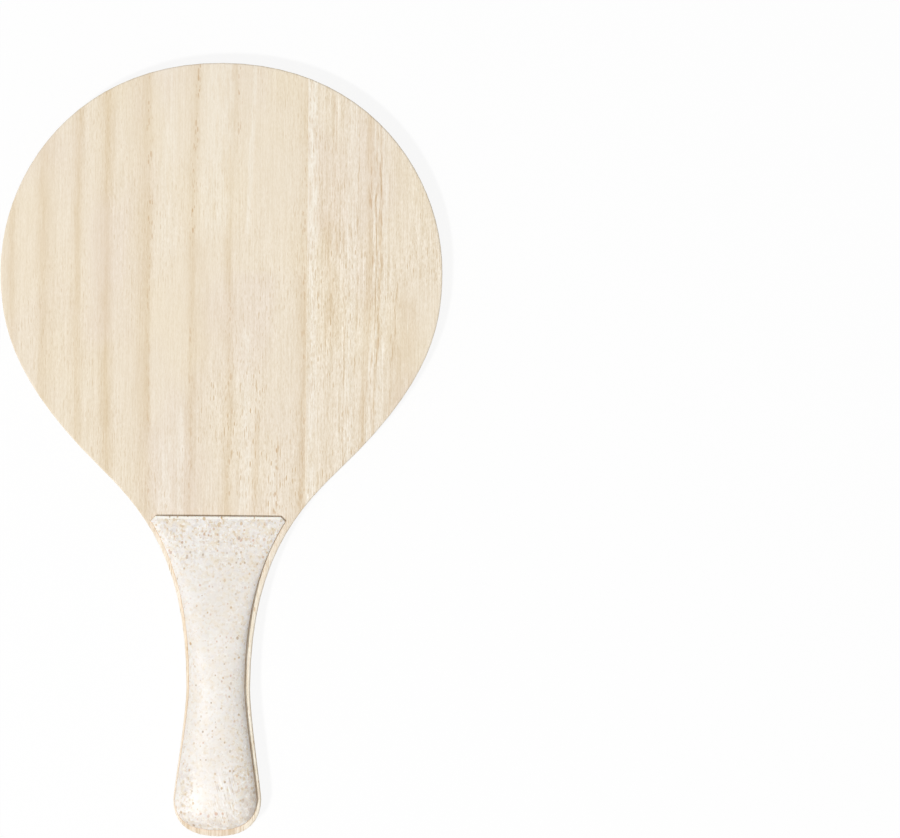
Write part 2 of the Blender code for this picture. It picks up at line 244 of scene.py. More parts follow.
FRONT_NARROW_STREAKS = (
    (0.0447, 0.0030, 0.50, WOOD_WHITE, -0.190, 0.190),
    (0.0451, 0.0032, 0.72, WOOD_WHITE, 0.110, 0.190),
    (0.0640, 0.0040, 0.40, WOOD_WHITE, -0.190, 0.190),
    (0.0540, 0.0050, 0.34, WOOD_BROWN, 0.060, 0.110),
    (0.0775, 0.0013, 0.35, WOOD_BROWN, 0.065, 0.112),
    (0.0910, 0.0090, 0.25, WOOD_BROWN, 0.015, 0.070),
    (0.0748, 0.0006, 0.65, WOOD_WHITE, 0.000, 0.165),
    (0.0758, 0.0005, 0.65, WOOD_PORE, 0.030, 0.155),
    (0.0769, 0.0006, 0.65, WOOD_WHITE, -0.010, 0.160),
    (0.0781, 0.0005, 0.50, WOOD_PORE, -0.020, 0.150),
    (0.0602, 0.0005, 0.50, WOOD_PORE, -0.040, 0.130),
    (0.0671, 0.0005, 0.50, WOOD_PORE, -0.020, 0.140),
    (0.0858, 0.0005, 0.50, WOOD_PORE, -0.040, 0.080),
    (0.0722, 0.0016, 0.28, WOOD_BROWN, -0.190, 0.190),
    (0.0800, 0.0018, 0.32, WOOD_WHITE, -0.190, 0.190),
)

# Streaks with a smaller half width than this are broken along their length. The others have ragged sides
THIN_STREAK = 0.0008

# Rows of short dark dashes along some rings and streaks: (place, foot, top, strength)
FRONT_WIDE_DASHES = (
    (-0.0355, 0.098, 0.190, 0.75), (-0.0140, 0.110, 0.190, 0.80),
    (0.0060, 0.150, 0.190, 0.60), (0.0045, -0.020, 0.070, 0.60),
    (-0.0150, -0.020, 0.110, 0.35), (-0.0355, -0.020, 0.098, 0.35),
    (0.0277, -0.060, 0.000, 0.70), (0.0405, -0.060, 0.190, 0.45),
)
FRONT_NARROW_DASHES = (
    (0.0735, -0.040, 0.180, 0.60), (0.0775, -0.040, 0.180, 0.65),
    (0.0450, -0.060, 0.190, 0.40), (0.0560, -0.040, 0.180, 0.40),
)

# Dashes: the (width, length) of the cell that each one lies in, a row's half width, and their radii as
# shares of a cell
SHORT_DASH = (0.0010, 0.0042)
LONG_DASH = (0.0008, 0.0095)
DASH_REACH = 0.0017
DASH_SEED = 31.0
DASH_RADII = (-0.05, 0.50)
DASH_SOFT = 0.12
DASH_FAINTEST = 0.4

# A line's share of its half width that has its full strength, and how far its ends take to fade
LINE_CORE = 0.35
LINE_END_SOFT = 0.01

# Open pores of two kinds: the (width, length) of the cell that each one lies in, their radii as shares of a
# cell, and how far their painted highlights, pale copies at their right, are shifted
PORE_SIZES = ((0.0011, 0.0110), (0.0015, 0.0065))
PORE_RADII = (0.0, 0.28)
PORE_SEED_STEP = 7.0
PORE_SOFT = 0.10
PORE_FAINTEST = 0.2
PORE_HIGHLIGHT_SHIFT = 0.0005
PORE_HIGHLIGHT_SHARE = 0.5

# Noises along the grain
FIBRE = Grain(0.0009, 0.0160, seed=0.0, detail=3.0, roughness=0.65)
TOOTH = Grain(0.00044, 0.0022, seed=37.0, roughness=0.7)
HAIRLINE = Grain(0.0005, 0.0700, seed=43.0)
RING_EDGE = Grain(0.0012, 0.0050, seed=5.0)
STREAK_EDGE = Grain(0.0019, 0.0125, seed=11.0, detail=3.0, low=0.32, high=0.56)
LINE_BREAKS = Grain(0.0009, 0.0130, seed=13.0, detail=3.0, low=0.44, high=0.58)
DASH_GROUPS = Grain(0.0110, 0.0140, seed=29.0, low=0.38, high=0.50)
BUTT_STRIPES = Grain(0.0011, 0.1200, seed=41.0, low=0.46, high=0.60)

# Wide patches in the veneer
STRONG_RINGS = Patches((20.0, 11.0, 9.0), seed=0.0, low=0.25, high=0.70, detail=1.0)
GOLD_PATCHES = Patches((22.0, 14.0, 22.0), seed=3.0, low=0.42, high=0.66)
PINK_PATCHES = Patches((26.0, 12.0, 26.0), seed=7.0, low=0.45, high=0.68)
LIVELY_PATCHES = Patches((30.0, 14.0, 30.0), seed=17.0, low=0.36, high=0.62)
GOLD_SHARE = 0.40
PINK_SHARE = 0.45

# The veneer is more open below and right of a slanting line: x less this share of y, from and to. On the
# other side the coarsest leaf is open by the last number, and a finer one by less
OPEN_SLOPE = 0.9
OPEN_OVER = (-0.09, 0.0)
OPEN_LEAST = 0.55

# How strongly grain and pores show, from closed wood to open and from calm patches to lively ones, and
# what a coarse leaf adds to the second number
GRAIN_BY_OPENNESS = (0.95, 1.35)
GRAIN_OF_COARSE = 0.58
GRAIN_BY_LIVELINESS = (0.80, 1.15)
PORES_BY_OPENNESS = (0.40, 1.00)
PORES_BY_LIVELINESS = (0.20, 0.93)
PORES_OF_COARSE = -0.26

# How far each noise lightens and darkens the wood, and how much more so in each colour channel
FIBRE_SWING = 0.13
TOOTH_SWING = 0.16
HAIRLINE_SWING = 0.08
HAIRLINE_OF_COARSE = 0.04
GRAIN_TINT = (0.75, 1.0, 1.45)

# Painted shade: the veneer is made a little darker down the head, to these shares of its colour channels
PAINTED_SHADE_BELOW = (0.974, 0.976, 0.990)
PAINTED_SHADE_OVER_Y = (0.12, -0.02)

# Single patches of a leaf: (left, right, foot, top, how much). Calm ones bring the rings and the pink
# patches down to a share, and closed ones the grain and the pores
CALM_PATCHES = ((0.008, 0.200, 0.090, 0.147, 1.0), (-0.022, 0.012, 0.115, 0.200, 0.55))
CLOSED_PATCHES = ((0.089, 0.200, 0.028, 0.078, 0.85),)
PATCH_SOFT = 0.006
CALM_RINGS = 0.4
CALM_PINK = 0.0
CLOSED_GRAIN = 0.6
CLOSED_PORES = 0.15

# The veneer is striped at the butt, where the cutter leaves its end grain open
STRIPES_OVER_Y = (-0.179, -0.184)
STRIPES_SHARE = 0.6

# What the tooth adds to the veneer's relief and the pores take off it
TOOTH_RELIEF = 0.5
PORE_RELIEF = 0.8


class Veneer(NamedTuple):
    """What sets one face leaf's wood apart. coarse says how open its grain is, from 0 to 1."""
    seed: float
    coarse: float
    rings: tuple
    streaks: tuple = ()
    dashes: tuple = ()
    dash_size: tuple = SHORT_DASH
    lean: Lean = None
    calm: tuple = ()
    closed: tuple = ()


VENEERS = {
    "front_face_leaf_wide": Veneer(
        seed=0.0, coarse=0.3, rings=FRONT_WIDE_RINGS, streaks=FRONT_WIDE_STREAKS,
        dashes=FRONT_WIDE_DASHES, lean=LEAN_OF_WIDE, calm=CALM_PATCHES,
    ),
    "front_face_leaf_narrow": Veneer(
        seed=40.0, coarse=1.0, rings=FRONT_NARROW_RINGS, streaks=FRONT_NARROW_STREAKS,
        dashes=FRONT_NARROW_DASHES, dash_size=LONG_DASH, lean=LEAN_OF_NARROW, closed=CLOSED_PATCHES,
    ),
    "rear_face_leaf_wide": Veneer(seed=80.0, coarse=0.5, rings=REAR_WIDE_RINGS),
    "rear_face_leaf_narrow": Veneer(seed=120.0, coarse=0.8, rings=REAR_NARROW_RINGS),
}

# Inner plies and glue: noise scales per metre, where that noise starts and ends its patches, and how far
# large blotches shift a ply's tint
CROSS_PLY_GRAIN = (60.0, 900.0, 1500.0)
CORE_PLY_GRAIN = (900.0, 60.0, 1500.0)
PLY_FIBRE = (0.35, 0.70)
PLY_BLOTCH_SCALE = (40.0, 40.0, 40.0)
PLY_BLOTCH = 0.3
GLUE_SCALE = (300.0, 300.0, 900.0)
GLUE_PATCHES = (0.40, 0.65)

# Where straw crowds in a grip scale: pairs of a place where that starts and one where it is whole
DENSE_TOP_Y = (-0.068, -0.040)
DENSE_BUTT_Y = (-0.174, -0.186)
DENSE_SIDE_X = (0.003, 0.013)
DENSE_SIDE_Y = (-0.128, -0.150)
DENSE_SIDE_LEAST = 0.4

# The same at the palm's left edge, as (from, to, soft). This crowding is painted shade over the palm's
# highlight
SHADED_LEFT_X = (-0.0165, -0.0125, 0.0020)
SHADED_LEFT_Y = (-0.181, -0.158, 0.006)
SHADED_LEFT_SHARE = 0.9

# The moulding's slow change between its two whites, and the blotches laid over it in this order
CLOUD_SCALE = (60.0, 45.0, 60.0)
CLOUD_OVER = (0.35, 0.70)
MOTTLES = (
    Mottle(0.0036, (2.0, 6.0, 0.0), 0.46, 0.68, MOTTLE_CREAM),
    Mottle(0.0022, (8.0, 1.0, 3.0), 0.50, 0.70, MOTTLE_GREY),
    Mottle(0.0016, (5.0, 2.0, 0.0), 0.50, 0.72, MOTTLE_STRAW),
    Mottle(0.0013, (1.0, 9.0, 4.0), 0.54, 0.72, MOTTLE_WHITE),
)
MOTTLE_SHARES = (0.40, 0.85)
MOTTLE_STRETCH = 0.9

# Painted shade as darker blotches: round the butt's rim and at its right corner, where the crown turns from
# the lamp, and at the palm's left edge, over its highlight
RIM_PAINTED_SHADE = Mottle(0.0028, (6.0, 3.0, 7.0), 0.33, 0.60, SHADE_BLOTCH_GREY)
RIM_SHADE_OVER_Y = (-0.177, -0.186)
RIM_SHADE_SHARE = 0.60
SHADED_CORNER_OVER_X = (0.009, 0.017)
SHADED_CORNER_OVER_Y = (-0.160, -0.176)
CORNER_SHADE_SHARE = 0.75
LEFT_PAINTED_SHADE = Mottle(0.0020, (4.0, 8.0, 1.0), 0.40, 0.62, SHADE_BLOTCH_GREY)
LEFT_PAINTED_SHADE_SHARE = 0.4

# Flecks of straw, how far crowding spreads their sizes, and the shape that all of them share
LARGE_FLECKS = Flecks(0.0033, (0.0, 0.0, 0.0), largest=0.30, strength=0.85)
MEDIUM_FLECKS = Flecks(0.0022, (9.0, 4.0, 1.0), largest=0.35, strength=0.70)
SMALL_FLECKS = Flecks(0.0012, (3.0, 8.0, 2.0), largest=0.38, strength=0.40)
FLECK_CROWDING = (0.80, 1.08)
SMALL_FLECK_CROWDING = (0.4, 1.0)
FLECK_SMALLEST = 0.25
FLECK_STRETCH = 0.8
FLECK_EDGE = (-0.02, 0.10)
FLECK_FAINTEST = 0.2
SMALL_FLECK_PITS = 0.5

# Thin lines where the straw lay along the flow, in an oval right of the butt's middle. Dark and pale
# ones are (the noise where they start, the noise where they are whole, strength)
FLOW_MIDDLE = (0.0042, -0.1705)
FLOW_REACH = (0.0075, 0.0180)
FLOW_CORE = 0.5
FLOW_ANGLE = math.radians(-14)
FLOW_LINES = Grain(0.0007, 0.0110, seed=9.0, detail=1.0)
FLOW_SHIFT = 4.0
FLOW_DARK_LINES = (0.59, 0.69, 0.5)
FLOW_PALE_LINES = (0.44, 0.34, 0.7)

# A painted highlight, a pale line along the lip at the top of a grip scale, as distances below that edge
LIP_FROM = 0.0003
LIP_TO = 0.0012
LIP_SOFT = 0.0003
LIP_HIGHLIGHT_SHARE = 0.9

# What fills the gaps: how far a glue film stays inside the plies and a grip's glue stands out, how thick
# that glue is, and how deep a joint's filler lies under the faces
GLUE_INSET = 0.00015
# The grip's glue is real glue, and its proud amber rim is also a painted brown shadow line along the grip's
# edge
GLUE_PROUD_AS_SHADE = 0.00015
SEAT_GAP = 0.0003
JOINT_SUNK = 0.00003

# How far a meshed corner may lie off a plane and still be on it, how far apart two corners may lie and
# still be one, and the decimals of a metre that tell two corners of a seat apart
SNAP = 0.00001
WELD = 1e-6
CORNER_DIGITS = 6

# A box's faces, where its corners are numbered by x, then y, then z
BOX_FACES = ((0, 1, 3, 2), (4, 6, 7, 5), (0, 4, 5, 1), (2, 3, 7, 6), (0, 2, 6, 4), (1, 5, 7, 3))

# Shading is smooth below this angle, and large faces lead it by this weight
SMOOTH_BELOW = math.radians(32)
LARGE_FACE_WEIGHT = 60


class Tree:
    """A material's node tree, with short calls for the nodes that the finishes here need."""

    def __init__(self, name):
        self.material = bpy.data.materials.new(name)
        self.material.use_nodes = True
        self.nodes = self.material.node_tree.nodes
        self.links = self.material.node_tree.links
        self.shader = self.nodes["Principled BSDF"]
        self.place = self.nodes.new("ShaderNodeTexCoord").outputs["Object"]

    def put(self, socket, value):
        """Links a socket to value where that is another node's output, and sets it otherwise."""
        if isinstance(value, bpy.types.NodeSocket):
            self.links.new(value, socket)
        else:
            socket.default_value = value

    def add(self, kind, inputs, **settings):
        """A node of that kind, with its settings and its inputs by name or number."""
        node = self.nodes.new(kind)
        for name, value in settings.items():
            setattr(node, name, value)
        for key, value in inputs.items():
            self.put(node.inputs[key], value)
        return node

    def math(self, operation, first, second=0.0, clamp=False):
        inputs = {0: first, 1: second}
        return self.add("ShaderNodeMath", inputs, operation=operation, use_clamp=clamp).outputs[0]

    def folded(self, operation, values):
        """One value out of several, by an operation that takes two at a time."""
        total = values[0]
        for value in values[1:]:
            total = self.math(operation, total, value)
        return total

    def product(self, *factors):
        return self.folded("MULTIPLY", factors)

    def sum(self, *terms):
        return self.folded("ADD", terms)

    def greatest(self, *values):
        return self.folded("MAXIMUM", values)

    def parts(self, vector):
        """The x, y and z of a vector."""
        return self.add("ShaderNodeSeparateXYZ", {"Vector": vector}).outputs

    def scaled(self, scale, offset=(0.0, 0.0, 0.0), source=None):
        """The place on the object, stretched by scale per metre and then shifted."""
        inputs = {"Vector": source or self.place, "Location": offset, "Scale": scale}
        return self.add("ShaderNodeMapping", inputs).outputs[0]

    def turned(self, angle):
        """The place on the object, turned about the axis out of the blade."""
        inputs = {"Vector": self.place, "Rotation": (0.0, 0.0, angle)}
        return self.add("ShaderNodeMapping", inputs).outputs[0]

    def noise(self, vector, detail=2.0, roughness=0.5):
        inputs = {"Vector": vector, "Scale": 1.0, "Detail": detail, "Roughness": roughness}
        return self.add("ShaderNodeTexNoise", inputs).outputs["Fac"]

    def grain(self, grain, shift, source=None):
        """Noise along the grain. The shift sets one leaf's noise apart from another's."""
        scale = (1 / grain.width, 1 / grain.length, 1 / grain.width)
        vector = self.scaled(scale, (shift, grain.seed, 0.0), source)
        return self.noise(vector, grain.detail, grain.roughness)

    def grain_mask(self, grain, shift):
        """0 to 1 where that noise rises from the grain's low to its high."""
        return self.step(self.grain(grain, shift), grain.low, grain.high)

    def patches(self, patches, shift):
        """Wide soft patches, from 0 to 1. The shift sets one leaf's patches apart from another's."""
        vector = self.scaled(patches.scale, (shift, patches.seed, 0.0))
        return self.step(self.noise(vector, patches.detail), patches.low, patches.high)

    def cells(self, vector, dimensions="3D"):
        """Scattered points: (distance to the nearest point, that point's own random numbers)."""
        inputs = {"Vector": vector, "Scale": 1.0}
        node = self.add("ShaderNodeTexVoronoi", inputs, voronoi_dimensions=dimensions)
        return node.outputs["Distance"], self.parts(node.outputs["Color"])

    def step(self, value, low, high):
        """0 below low, 1 above high, and a smooth change between them."""
        inputs = {"Value": value, "From Min": low, "From Max": high}
        return self.add("ShaderNodeMapRange", inputs, interpolation_type="SMOOTHSTEP").outputs["Result"]

    def between(self, value, low, high, soft):
        """1 from low to high and 0 outside, with soft ends."""
        return self.product(self.step(value, low - soft, low), self.step(value, high + soft, high))

    def spread(self, value, low, high):
        """A value of 0 to 1 stretched to low to high."""
        inputs = {"Value": value, "To Min": low, "To Max": high}
        return self.add("ShaderNodeMapRange", inputs).outputs["Result"]

    def swing(self, value, amount):
        """A value of 0 to 1 as a change by up to amount either way."""
        return self.spread(value, -amount, amount)

    def eased(self, value, patch, least):
        """A value brought down to its least share where a patch is whole, if there is a patch."""
        return value if patch is None else self.product(value, self.spread(patch, 1.0, least))

    def mix(self, share, first, second, blend="MIX"):
        node = self.add("ShaderNodeMix", {}, data_type="RGBA", blend_type=blend)
        self.put(node.inputs["Factor"], share)
        for socket, value in zip([s for s in node.inputs if s.type == "RGBA"], (first, second)):
            self.put(socket, value)
        return [s for s in node.outputs if s.type == "RGBA"][0]

    def ramp(self, value, stops):
        """A colour or grey along a line of (place, colour) stops."""
        node = self.add("ShaderNodeValToRGB", {"Fac": value})
        ramp = node.color_ramp
        ramp.interpolation = "LINEAR"
        while len(ramp.elements) < len(stops):
            ramp.elements.new(0.5)
        for element, (place, colour) in zip(ramp.elements, stops):
            element.position = place
            element.color = colour
        return node.outputs["Color"]

    def finish(self, colour, texture, skin, height=None):
        """The finished material. texture varies its roughness, and height from 0 to 1 its relief."""
        inputs = self.shader.inputs
        self.put(inputs["Base Color"], colour)
        self.put(inputs["Roughness"], self.spread(texture, skin.smoothest, skin.roughest))
        inputs["Specular IOR Level"].default_value = skin.specular
        if height is not None:
            bump = {"Height": height, "Distance": skin.relief, "Strength": skin.strength}
            self.put(inputs["Normal"], self.add("ShaderNodeBump", bump).outputs["Normal"])
        return self.material


def ring_shade(tree, across, rings, reach):
    """How dark the wood is across some rings: slow growth before each line, and a quick fade after it."""
    low, high = reach
    stops = []
    before = low
    for line, lead, fade, depth in rings:
        start = max(line - lead, before)
        before = line + fade
        spots = (start, (start + line) / 2, line, before)
        for spot, shade in zip(spots, (0.0, RING_MID_SHADE * depth, depth, 0.0)):
            share = min(max((spot - low) / (high - low), 0.0), 1.0)
            stops.append((share, (shade, shade, shade, 1.0)))
    value = tree.add("ShaderNodeMapRange", {"Value": across, "From Min": low, "From Max": high})
    return tree.ramp(value.outputs["Result"], stops)


def ring_shades(tree, across, rings, reach):
    """How dark the wood is across all its rings, in as many ramps as they need."""
    starts = range(0, len(rings), RINGS_PER_RAMP)
    groups = [rings[start:start + RINGS_PER_RAMP] for start in starts]
    return tree.greatest(*[ring_shade(tree, across, group, reach) for group in groups])


def line_mask(tree, across, place, width):
    """1 on a line along the grain at place, and 0 beyond its half width."""
    gap = tree.math("ABSOLUTE", tree.math("SUBTRACT", across, place))
    return tree.step(gap, width, LINE_CORE * width)


def patches_of(tree, place, patches):
    """How much a leaf's single patches change the wood, from 0 to 1, or None where it has none."""
    shares = []
    for left, right, foot, top, amount in patches:
        in_x = tree.between(place["X"], left, right, PATCH_SOFT)
        in_y = tree.between(place["Y"], foot, top, PATCH_SOFT)
        shares.append(tree.product(in_x, in_y, amount))
    return tree.greatest(*shares) if shares else None


def scattered(tree, size, offset, radii, soft, faintest):
    """Short dashes along the grain, one at most in each cell of a size, of mixed radii and strengths."""
    width, length = size
    distance, chance = tree.cells(tree.scaled((1 / width, 1 / length, 1.0), offset), "2D")
    radius = tree.spread(chance["X"], *radii)
    inside = tree.step(tree.math("SUBTRACT", radius, distance), 0.0, soft)
    return tree.product(inside, tree.spread(chance["Y"], faintest, 1.0))


def bent_across(tree, place, veneer):
    """The place across the grain, with the lean, drift and wobble that real rings have."""
    shift = (veneer.seed, 0.0, 0.0)
    drift = tree.noise(tree.scaled(DRIFT_SCALE, shift), detail=1.0)
    wobble = tree.noise(tree.scaled(WOBBLE_SCALE, shift))
    across = tree.sum(place["X"], tree.swing(drift, DRIFT))
    if veneer.lean:
        over_y = tree.step(place["Y"], *veneer.lean.over_y)
        over_x = tree.step(place["X"], *veneer.lean.over_x)
        across = tree.math("SUBTRACT", across, tree.product(over_y, over_x, veneer.lean.amount))
    return tree.sum(across, tree.swing(wobble, WOBBLE))


def ringed_wood(tree, across, place, veneer, reach):
    """Cream wood, darker on the rings, with wide golden and pink patches."""
    calm = patches_of(tree, place, veneer.calm)
    fray = tree.swing(tree.grain(RING_EDGE, veneer.seed), RING_FRAY)
    rings = ring_shades(tree, tree.sum(across, fray), veneer.rings, reach)
    strength = tree.spread(tree.patches(STRONG_RINGS, veneer.seed), RING_WEAKEST, 1.0)
    dark = tree.eased(tree.product(rings, strength), calm, CALM_RINGS)
    colour = tree.mix(dark, WOOD_LIGHT, WOOD_DARK)
    gold = tree.product(tree.patches(GOLD_PATCHES, veneer.seed), GOLD_SHARE)
    colour = tree.mix(gold, colour, WOOD_GOLD)
    pink = tree.product(tree.patches(PINK_PATCHES, veneer.seed), PINK_SHARE)
    return tree.mix(tree.eased(pink, calm, CALM_PINK), colour, WOOD_PINK)


def streaked(tree, colour, across, place, veneer):
    """The veneer's few pale and brown streaks, with ragged sides or broken up."""
    ragged = tree.grain_mask(STREAK_EDGE, veneer.seed)
    broken = tree.grain_mask(LINE_BREAKS, veneer.seed)
    for line, width, amount, tint, foot, top in veneer.streaks:
        here = tree.between(place["Y"], foot, top, LINE_END_SOFT)
        worn = broken if width < THIN_STREAK else ragged
        share = tree.product(line_mask(tree, across, line, width), worn, here, amount)
        colour = tree.mix(share, colour, tint)
    return colour


def how_open(tree, place, veneer):
    """How open the wood is, up to 1 at the lower right."""
    slant = tree.math("SUBTRACT", place["X"], tree.product(place["Y"], OPEN_SLOPE))
    return tree.spread(tree.step(slant, *OPEN_OVER), OPEN_LEAST * veneer.coarse ** 3, 1.0)


def fine_grain(tree, veneer, fibre, tooth):
    """The wood's fibres as a change of brightness either way."""
    fine = HAIRLINE_SWING + HAIRLINE_OF_COARSE * veneer.coarse ** 3
    hairline = tree.swing(tree.grain(HAIRLINE, veneer.seed), fine)
    return tree.sum(tree.swing(fibre, FIBRE_SWING), tree.swing(tooth, TOOTH_SWING), hairline)


def grained_with_painted_shade(tree, colour, place, grain):
    """The wood's colour with its grain, and painted shade that makes it a little darker down the head."""
    below = tree.step(place["Y"], *PAINTED_SHADE_OVER_Y)
    light = {
        channel: tree.sum(tree.product(grain, share), tree.spread(below, 1.0, painted_shade_share))
        for channel, share, painted_shade_share in zip(("Red", "Green", "Blue"), GRAIN_TINT, PAINTED_SHADE_BELOW)
    }
    return tree.mix(1.0, colour, tree.add("ShaderNodeCombineColor", light).outputs[0], "MULTIPLY")


def pored(tree, colour, veneer, amount):
    """Open pores, each with a painted highlight, a pale copy at its right. It returns the colour and the
    pores.
    """
    kinds = []
    for number, size in enumerate(PORE_SIZES):
        highlight_and_pore = []
        for shift in (-PORE_HIGHLIGHT_SHIFT, 0.0):
            offset = (veneer.seed + shift / size[0], PORE_SEED_STEP * number, 0.0)
            dash = scattered(tree, size, offset, PORE_RADII, PORE_SOFT, PORE_FAINTEST)
            highlight_and_pore.append(tree.product(dash, amount))
        # rim is each pore's painted highlight
        rim, pore = highlight_and_pore
        colour = tree.mix(tree.product(rim, PORE_HIGHLIGHT_SHARE), colour, WOOD_WHITE)
        colour = tree.mix(pore, colour, WOOD_PORE)
        kinds.append(pore)
    return colour, tree.greatest(*kinds)


def dashed(tree, colour, across, place, veneer):
    """Short dark dashes in rows along some of the rings and streaks."""
    offset = (veneer.seed, DASH_SEED, 0.0)
    dash = scattered(tree, veneer.dash_size, offset, DASH_RADII, DASH_SOFT, DASH_FAINTEST)
    dash = tree.product(dash, tree.grain_mask(DASH_GROUPS, veneer.seed))
    for line, foot, top, amount in veneer.dashes:
        here = tree.between(place["Y"], foot, top, LINE_END_SOFT)
        share = tree.product(line_mask(tree, across, line, DASH_REACH), dash, here, amount)
        colour = tree.mix(share, colour, RING_DASH)
    return colour


def striped(tree, colour, place, veneer):
    """Brown stripes of open end grain at the butt."""
    over_y = tree.step(place["Y"], *STRIPES_OVER_Y)
    stripe = tree.product(tree.grain_mask(BUTT_STRIPES, veneer.seed), over_y, STRIPES_SHARE)
    return tree.mix(stripe, colour, STRIPE_BROWN)


def leaf_wood(name, veneer, reach):
    """Pale face veneer with its grain along the handle. reach is the leaf's left and right edge."""
    tree = Tree(name)
    place = tree.parts(tree.place)
    across = bent_across(tree, place, veneer)
    colour = ringed_wood(tree, across, place, veneer, reach)
    colour = streaked(tree, colour, across, place, veneer)

    closed = patches_of(tree, place, veneer.closed)
    openness = how_open(tree, place, veneer)
    lively = tree.patches(LIVELY_PATCHES, veneer.seed)
    fibre = tree.grain(FIBRE, veneer.seed)
    tooth = tree.grain(TOOTH, veneer.seed)

    least, most = GRAIN_BY_OPENNESS
    by_openness = tree.spread(openness, least, most + GRAIN_OF_COARSE * veneer.coarse)
    by_liveliness = tree.spread(lively, *GRAIN_BY_LIVELINESS)
    grain = tree.product(fine_grain(tree, veneer, fibre, tooth), by_openness, by_liveliness)
    # The grain, with painted shade a little darker down the head
    colour = grained_with_painted_shade(tree, colour, place, tree.eased(grain, closed, CLOSED_GRAIN))

    least, most = PORES_BY_LIVELINESS
    by_liveliness = tree.spread(lively, least, most + PORES_OF_COARSE * veneer.coarse)
    amount = tree.product(by_liveliness, tree.spread(openness, *PORES_BY_OPENNESS))
    colour, pores = pored(tree, colour, veneer, tree.eased(amount, closed, CLOSED_PORES))
    colour = dashed(tree, colour, across, place, veneer)
    colour = striped(tree, colour, place, veneer)

    height = tree.sum(fibre, tree.product(tooth, TOOTH_RELIEF))
    height = tree.math("SUBTRACT", height, tree.product(pores, PORE_RELIEF))
    return tree.finish(colour, fibre, VENEER_SKIN, height)


def ply_wood(name, grain_scale, tints):
    """A raw inner ply, seen at the blade's edge, with its grain stretched the given way."""
    tree = Tree(name)
    fibre = tree.noise(tree.scaled(grain_scale), detail=3.0, roughness=0.6)
    blotch = tree.noise(tree.scaled(PLY_BLOTCH_SCALE))
    share = tree.math("ADD", tree.step(fibre, *PLY_FIBRE), tree.swing(blotch, PLY_BLOTCH), clamp=True)
    return tree.finish(tree.mix(share, *tints), fibre, PLY_SKIN, fibre)


def glue(name, tints):
    """The thin line that glue or filler leaves, in patches of two colours."""
    tree = Tree(name)
    patch = tree.noise(tree.scaled(GLUE_SCALE))
    return tree.finish(tree.mix(tree.step(patch, *GLUE_PATCHES), *tints), patch, GLUE_SKIN)


def straw_density(tree, place):
    """How the straw crowds, from 0 to 1, and the share of that at the palm's left edge alone, which is
    painted shade over the palm's highlight.
    """
    top_end = tree.step(place["Y"], *DENSE_TOP_Y)
    butt_end = tree.step(place["Y"], *DENSE_BUTT_Y)
    lower = tree.spread(tree.step(place["Y"], *DENSE_SIDE_Y), DENSE_SIDE_LEAST, 1.0)
    side = tree.product(tree.step(place["X"], *DENSE_SIDE_X), lower)
    left_x = tree.between(place["X"], *SHADED_LEFT_X)
    left_y = tree.between(place["Y"], *SHADED_LEFT_Y)
    left = tree.product(left_x, left_y, SHADED_LEFT_SHARE)
    return tree.greatest(top_end, butt_end, side, left), left


def mottled(tree, colour, mottle, amount):
    """Soft blotches of one size and colour."""
    scale = (1 / mottle.size, MOTTLE_STRETCH / mottle.size, 1 / mottle.size)
    noise = tree.noise(tree.scaled(scale, mottle.seed))
    share = tree.product(tree.step(noise, mottle.low, mottle.high), amount)
    return tree.mix(share, colour, mottle.colour)


def painted_rim_shade(tree, place):
    """How strong the painted shade is round the butt's rim and at its right corner."""
    rim = tree.product(tree.step(place["Y"], *RIM_SHADE_OVER_Y), RIM_SHADE_SHARE)
    corner_x = tree.step(place["X"], *SHADED_CORNER_OVER_X)
    corner_y = tree.step(place["Y"], *SHADED_CORNER_OVER_Y)
    return tree.greatest(rim, tree.product(corner_x, corner_y, CORNER_SHADE_SHARE))


def flow_lines(tree, colour):
    """Thin lines where the straw lay along the flow, fading out towards the edge of their oval."""
    (x, y), (half_x, half_y) = FLOW_MIDDLE, FLOW_REACH
    middle = tree.scaled((1 / half_x, 1 / half_y, 0.0), (-x / half_x, -y / half_y, 0.0))
    reach = tree.add("ShaderNodeVectorMath", {0: middle}, operation="LENGTH").outputs["Value"]
    here = tree.step(reach, 1.0, FLOW_CORE)
    lines = tree.grain(FLOW_LINES, FLOW_SHIFT, source=tree.turned(FLOW_ANGLE))
    for (start, whole, amount), tint in ((FLOW_DARK_LINES, FLOW_DARK), (FLOW_PALE_LINES, MOTTLE_WHITE)):
        colour = tree.mix(tree.product(tree.step(lines, start, whole), here, amount), colour, tint)
    return colour


def painted_lip_highlight(tree, colour, place):
    """A painted highlight, a pale line along the lip at the scale's top."""
    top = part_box("front_grip_scale")[1].y
    lip_highlight = tree.between(place["Y"], top - LIP_TO, top - LIP_FROM, LIP_SOFT)
    return tree.mix(tree.product(lip_highlight, LIP_HIGHLIGHT_SHARE), colour, LIP_HIGHLIGHT_WHITE)


def flecked(tree, colour, flecks, crowding):
    """Flecks of straw, smaller where they crowd less. It returns the colour and the flecks."""
    spacing = flecks.spacing
    scale = (1 / spacing, FLECK_STRETCH / spacing, 1 / spacing)
    distance, chance = tree.cells(tree.scaled(scale, flecks.seed))
    size = tree.spread(chance["X"], FLECK_SMALLEST * flecks.largest, flecks.largest)
    inside = tree.step(tree.math("SUBTRACT", tree.product(size, crowding), distance), *FLECK_EDGE)
    share = tree.product(inside, tree.spread(chance["Y"], FLECK_FAINTEST, 1.0), flecks.strength)
    return tree.mix(share, colour, tree.ramp(chance["Z"], STRAW_TINTS)), share


